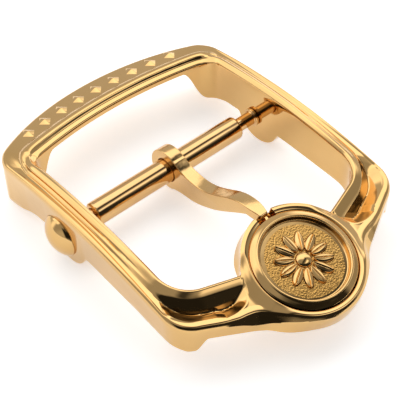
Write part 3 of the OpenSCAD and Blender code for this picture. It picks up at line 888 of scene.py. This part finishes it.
def medallion_relief(rho, angle):
    """Height of the medallion's face: rim, stippled field and a rosette of petals."""
    face = smooth_line(*MEDAL_SECTION, rho)
    turn = 2 * math.pi / PETALS
    off = (angle + turn / 2) % turn - turn / 2
    along = (rho * np.cos(off) - PETAL_IN) / PETAL_L
    aside = np.abs(rho * np.sin(off))
    wide = PETAL_L * PETAL_HALF * np.sqrt(np.clip(4 * along * (1 - along), 0, 1))
    petal = np.clip(1 - (aside / np.maximum(wide, 1e-6)) ** 2, 0, 1) * (along > 0) * (along < 1)
    leaf = PETAL_H * petal ** PETAL_BACK - VEIN_D * np.exp(-(aside / VEIN_W) ** 2) * (petal > 0.2)
    boss = BOSS_H * np.clip(1 - (rho / BOSS_R) ** 2, 0, 1) ** 0.5
    return face + np.maximum(np.maximum(leaf, 0), boss)


def medallion_piece():
    """The medallion: a turned disc whose face is struck with a rosette."""
    mesher = Mesher()
    angle = np.linspace(0, 2 * math.pi, MEDAL_STEPS, endpoint=False)
    top = medallion_relief(np.zeros(1), np.zeros(1))[0]
    rows = [np.repeat(mesher.add([on_seat(0.0, 0.0, top)]), MEDAL_STEPS)]
    for r in np.concatenate([np.linspace(*ring) for ring in MEDAL_RINGS]):
        relief = medallion_relief(np.full(MEDAL_STEPS, r), angle)
        rows.append(mesher.add(seat_ring(r, angle, relief)))
    for r, w in ((MEDAL_R, -0.2), (MEDAL_R, 0.05 - MEDAL_DEPTH), (MEDAL_R - 0.05, -MEDAL_DEPTH)):
        rows.append(mesher.add(seat_ring(r, angle, w)))
    rows.append(np.repeat(mesher.add([on_seat(0.0, 0.0, -MEDAL_DEPTH)]), MEDAL_STEPS))
    mesher.grid(np.array(rows), closed_rows=True)
    return mesher.build("struck_medallion")


def stipple_and_shade_field(piece):
    """Gives the sunk field round the rosette the piece's second material: stippled, and painted a deeper
    gold as shade.
    """
    for face in piece.data.polygons:
        x, y, z = (value / MM for value in face.center)
        rho, _angle = seat_polar(x, y)
        level = (z - seat_plane(y)) * math.cos(SEAT_TILT)
        if rho < FIELD_R and FIELD_LOW < level < FIELD_HIGH:
            face.material_index = 1


# The lozenges on the rear rail: how many, how far apart, how far behind the window, half their
# width and length, the share of each side that a corner loses, and the share of their size at
# each height over the band
LOZENGES = 9
LOZENGE_PITCH = 1.6
LOZENGE_INSET = 2.3
LOZENGE_HALF = (0.475, 0.65)
LOZENGE_CORNER = 0.03
LOZENGE_STEPS = ((1.08, -0.3), (1.08, 0.02), (0.16, 0.24), (0.1, 0.25))
BAND_H = -0.11


def lozenge_row():
    """Row of raised four-sided points on the band of the rear rail."""
    mesher = Mesher()
    turn = math.pi / 2 * np.arange(5)
    points = np.stack([np.cos(turn), np.sin(turn)], axis=1) * LOZENGE_HALF
    # Each corner is cut off a little
    outline = np.array([mix(p, q, t) for p, q in zip(points, points[1:])
                        for t in (LOZENGE_CORNER, 1 - LOZENGE_CORNER)])
    for i in range(LOZENGES):
        x0 = (i - (LOZENGES - 1) / 2) * LOZENGE_PITCH
        y0 = REAR_REACH + LOZENGE_INSET - x0 ** 2 / (2 * REAR_IN_BOW)
        rings = []
        for size, h in LOZENGE_STEPS:
            plan = outline * size + (x0, y0)
            rings.append(mesher.add([(x, y, arch(y) + BAND_H + h) for x, y in plan]))
        mesher.grid(np.array(rings), closed_rows=True)
        mesher.faces += [rings[0].tolist(), rings[-1].tolist()]
    return mesher.build("lozenge_row")


def linear(colour):
    """sRGB hex colour as linear values."""
    parts = [int(colour[k:k + 2], 16) / 255 for k in (1, 3, 5)]
    return [p / 12.92 if p <= 0.04045 else ((p + 0.055) / 1.055) ** 2.4 for p in parts] + [1]


def add_node(tree, kind, links=(), **settings):
    """Adds a node. Links are (socket of this node, output of another); a setting in_X is the
    value of the node's input X, and any other is a property of the node."""
    node = tree.nodes.new(kind)
    for key, value in settings.items():
        if key.startswith("in_"):
            place = key[3:]
            socket = int(place) if place.isdigit() else place.replace("_", " ")
            node.inputs[socket].default_value = value
        else:
            setattr(node, key, value)
    for socket, source in links:
        tree.links.new(source, node.inputs[socket])
    return node


def new_material(name):
    """A material with its node tree and its shader."""
    material = bpy.data.materials.new(name)
    material.use_nodes = True
    tree = material.node_tree
    return material, tree, tree.nodes["Principled BSDF"]


# Blotches of tone and of haze left by the wheel, and depth of its ripple
TONE_MM, HAZE_MM, RIPPLE_DEPTH = 2.5, 0.5, 0.02


def worked_metal(name, light, deep, roughness, ripple_mm, ripple):
    """Metal with two tones, a roughness that wanders about its mean and a rippled surface."""
    material, tree, shader = new_material(name)
    place = add_node(tree, "ShaderNodeTexCoord").outputs["Object"]

    def noise(size, detail):
        return add_node(tree, "ShaderNodeTexNoise", [("Vector", place)], in_Scale=1 / (size * MM),
                        in_Detail=detail).outputs["Fac"]

    tone = add_node(tree, "ShaderNodeMix", [("Factor", noise(TONE_MM, 2.0))], data_type="RGBA",
                    in_6=linear(deep), in_7=linear(light))
    rough = add_node(tree, "ShaderNodeMapRange", [("Value", noise(HAZE_MM, 4.0))], in_From_Min=0.3,
                     in_From_Max=0.7, in_To_Min=roughness * 0.7, in_To_Max=roughness * 1.3)
    bump = add_node(tree, "ShaderNodeBump", [("Height", noise(ripple_mm, 1.0))], in_Strength=ripple,
                    in_Distance=RIPPLE_DEPTH * MM)
    shader.inputs["Metallic"].default_value = 1.0
    tree.links.new(tone.outputs[2], shader.inputs["Base Color"])
    tree.links.new(rough.outputs["Result"], shader.inputs["Roughness"])
    tree.links.new(bump.outputs["Normal"], shader.inputs["Normal"])
    return material


# Gold-plated brass, buffed on a wheel: a warm mirror whose reflections roll a little
GOLD = worked_metal("buffed_gold_plate", "#DEB67A", "#D3A96A", 0.07, 1.2, 0.25)
# Turned on a lathe before plating: long clean highlights, slightly hazier
GOLD_BAR = worked_metal("turned_gold_plate", "#DBB47C", "#CFA46C", 0.09, 0.8, 0.2)
# Brushed and plated: soft wide highlights with a fine grain
GOLD_TONGUE = worked_metal("brushed_gold_plate", "#DFB87E", "#D3AA6E", 0.16, 0.3, 0.3)
# Struck with a polished die: a mirror like the frame's, a touch softer
GOLD_MEDAL = worked_metal("struck_gold_plate", "#DEB67A", "#D3A96A", 0.08, 1.0, 0.2)
# Stippled with a punch: a gold that sparkles in small points, its deeper colour painted shade for the
# sunk field
STIPPLED_SHADED_GOLD = worked_metal("stippled_gold_painted_shade", "#CFA35E", "#BA8C48", 0.22, 0.12, 1.0)
# Drawn through a die: a plain grey wire with a dull shine
STEEL = worked_metal("drawn_spring_steel", "#C9C6C0", "#BDB9B2", 0.2, 0.3, 0.2)

buckle = frame_piece()
cut_with(buckle, notch_cutter())
for side in (-1, 1):
    cut_with(buckle, bore_cutter(side))
ornament = lozenge_row()
with bpy.context.temp_override(active_object=buckle, selected_editable_objects=[buckle, ornament]):
    bpy.ops.object.join()
finish_piece(buckle, "frame", "gold_polished", "frame", GOLD)

medallion = medallion_piece()
finish_piece(medallion, "frame", "gold_medallion", "medallion", GOLD_MEDAL, STIPPLED_SHADED_GOLD)
# The sunk field gets the stippled gold whose deeper colour is painted shade
stipple_and_shade_field(medallion)
for side, word in ((-1, "left"), (1, "right")):
    cap = cap_piece(f"domed_cap_{word}", side)
    pin = pin_piece(f"bar_pin_{word}", side)
    finish_piece(cap, "frame", "gold_polished", f"cap_{word}", GOLD)
    finish_piece(pin, f"{word}_pin", "gold_bar", f"plunger_{word}", GOLD_BAR)
finish_piece(tube_piece(), "bar", "gold_bar", "bar_tube", GOLD_BAR)
finish_piece(tongue_piece(), "tongue", "gold_polished", "tongue", GOLD_TONGUE)
dress(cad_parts["coil_spring"], STEEL)

# The studio: a white floor under the frame's feet, lifted to plain white where no shadow falls
FLOOR_Z = -1.98
FLOOR_HALF = 500
FLOOR_LIFT = 0.52


def studio_floor():
    """White paper that the camera and reflections see as plain white but for its shadow."""
    mesh = bpy.data.meshes.new("studio_floor")
    r = FLOOR_HALF * MM
    z = FLOOR_Z * MM
    mesh.from_pydata([(-r, -r, z), (r, -r, z), (r, r, z), (-r, r, z)], [], [(0, 1, 2, 3)])
    piece = bpy.data.objects.new("studio_floor", mesh)
    bpy.context.scene.collection.objects.link(piece)
    material, tree, shader = new_material("white_paper")
    shader.inputs["Base Color"].default_value = linear("#F0F0F0")
    shader.inputs["Roughness"].default_value = 0.9
    shader.inputs["Emission Color"].default_value = (1, 1, 1, 1)
    view = add_node(tree, "ShaderNodeLightPath").outputs
    seen = view["Is Camera Ray"]
    for kind in ("Is Glossy Ray", "Is Transmission Ray"):
        seen = add_node(tree, "ShaderNodeMath", [(0, seen), (1, view[kind])], operation="ADD").outputs[0]
    lift = add_node(tree, "ShaderNodeMath", [(0, seen)], operation="MULTIPLY", in_1=FLOOR_LIFT)
    tree.links.new(lift.outputs[0], shader.inputs["Emission Strength"])
    piece.data.materials.append(material)


studio_floor()


def add_card(sky, way, under, azimuth, elevation, half_w, half_h, soft, level):
    """Paints a lit or dark card on the studio's sky. Angles are in degrees: azimuth 0 is over the
    rear rail and 90 over the right cheek."""
    az, el = math.radians(azimuth), math.radians(elevation)
    middle = Vector((math.sin(az) * math.cos(el), math.cos(az) * math.cos(el), math.sin(el)))
    side = Vector((math.cos(az), -math.sin(az), 0))
    up = side.cross(middle)
    parts = []
    for axis in (side, middle, up):
        dot = add_node(sky, "ShaderNodeVectorMath", [(0, way)], operation="DOT_PRODUCT", in_1=axis)
        parts.append(dot.outputs["Value"])
    turn = add_node(sky, "ShaderNodeMath", [(0, parts[0]), (1, parts[1])], operation="ARCTAN2")
    tilt = add_node(sky, "ShaderNodeMath", [(0, parts[2])], operation="ARCSINE")
    cover = []
    for angle, half in ((turn, half_w), (tilt, half_h)):
        off = add_node(sky, "ShaderNodeMath", [(0, angle.outputs[0])], operation="ABSOLUTE")
        cover.append(add_node(sky, "ShaderNodeMapRange", [("Value", off.outputs[0])],
                              interpolation_type="SMOOTHSTEP", in_From_Min=math.radians(half + soft),
                              in_From_Max=math.radians(half - soft), in_To_Min=0.0, in_To_Max=1.0))
    both = add_node(sky, "ShaderNodeMath", [(0, cover[0].outputs[0]), (1, cover[1].outputs[0])],
                    operation="MULTIPLY")
    return add_node(sky, "ShaderNodeMix", [("Factor", both.outputs[0]), ("A", under)],
                    data_type="FLOAT", in_B=level).outputs[0]


# Level of the studio's walls, where white is 1, and the cards before them: azimuth, elevation,
# half width, half height, softness of the edge and level
WALL_LEVEL = 0.65
STUDIO_CARDS = [
    (-125, 60, 75, 30, 10, 0.45),
    (30, 61, 60, 20, 6, 1.9),
    (-25, 45, 20, 12, 8, 1.6),
    (115, 32, 18, 26, 6, 0.4),
    (58, 5, 9, 24, 5, 1.8),
    (-48, 12, 8, 30, 6, 1.5),
    (146, 51, 18, 7, 4, 1.8),
    (-152, 31, 44, 25, 7, 0.02),
    (160, 8, 24, 28, 6, 0.03),
    (155, 72, 30, 7, 5, 0.06),
]


def studio_sky():
    """Sky of pale walls with soft boxes and dark cards; the camera sees plain white."""
    world = bpy.data.worlds.new("studio_sky")
    bpy.context.scene.world = world
    world.use_nodes = True
    sky = world.node_tree
    back = sky.nodes["Background"]
    back.inputs["Color"].default_value = (1, 1, 1, 1)
    way = add_node(sky, "ShaderNodeTexCoord").outputs["Generated"]
    level = add_node(sky, "ShaderNodeValue").outputs[0]
    level.default_value = WALL_LEVEL
    for card in STUDIO_CARDS:
        level = add_card(sky, way, level, *card)
    view = add_node(sky, "ShaderNodeLightPath")
    seen = add_node(sky, "ShaderNodeMix", [("Factor", view.outputs["Is Camera Ray"]), ("A", level)],
                    data_type="FLOAT", in_B=1.0)
    sky.links.new(seen.outputs[0], back.inputs["Strength"])


studio_sky()

# The camera, solved from the photograph: place, the picture's right and up, focal length and
# width in pixels
CAMERA_AT = Vector((-31.007, -39.04, 51.77)) * MM
CAMERA_RIGHT = Vector((0.754250, -0.656582, -0.002637))
CAMERA_UP = Vector((0.488673, 0.558672, 0.670137))
FOCAL_PX = 1022.7
FRAME_PX = 400
SENSOR_MM = 36


def photo_camera():
    """Camera that sees the buckle as the photograph does."""
    data = bpy.data.cameras.new("photo_camera")
    data.sensor_width = SENSOR_MM
    data.lens = SENSOR_MM * FOCAL_PX / FRAME_PX
    data.clip_start = 1 * MM
    camera = bpy.data.objects.new("photo_camera", data)
    bpy.context.scene.collection.objects.link(camera)
    right = CAMERA_RIGHT.normalized()
    up = (CAMERA_UP - right * CAMERA_UP.dot(right)).normalized()
    turn = Matrix((right, up, right.cross(up))).transposed()
    camera.matrix_world = Matrix.Translation(CAMERA_AT) @ turn.to_4x4()
    bpy.context.scene.camera = camera


photo_camera()
bpy.context.scene.view_settings.view_transform = "Standard"
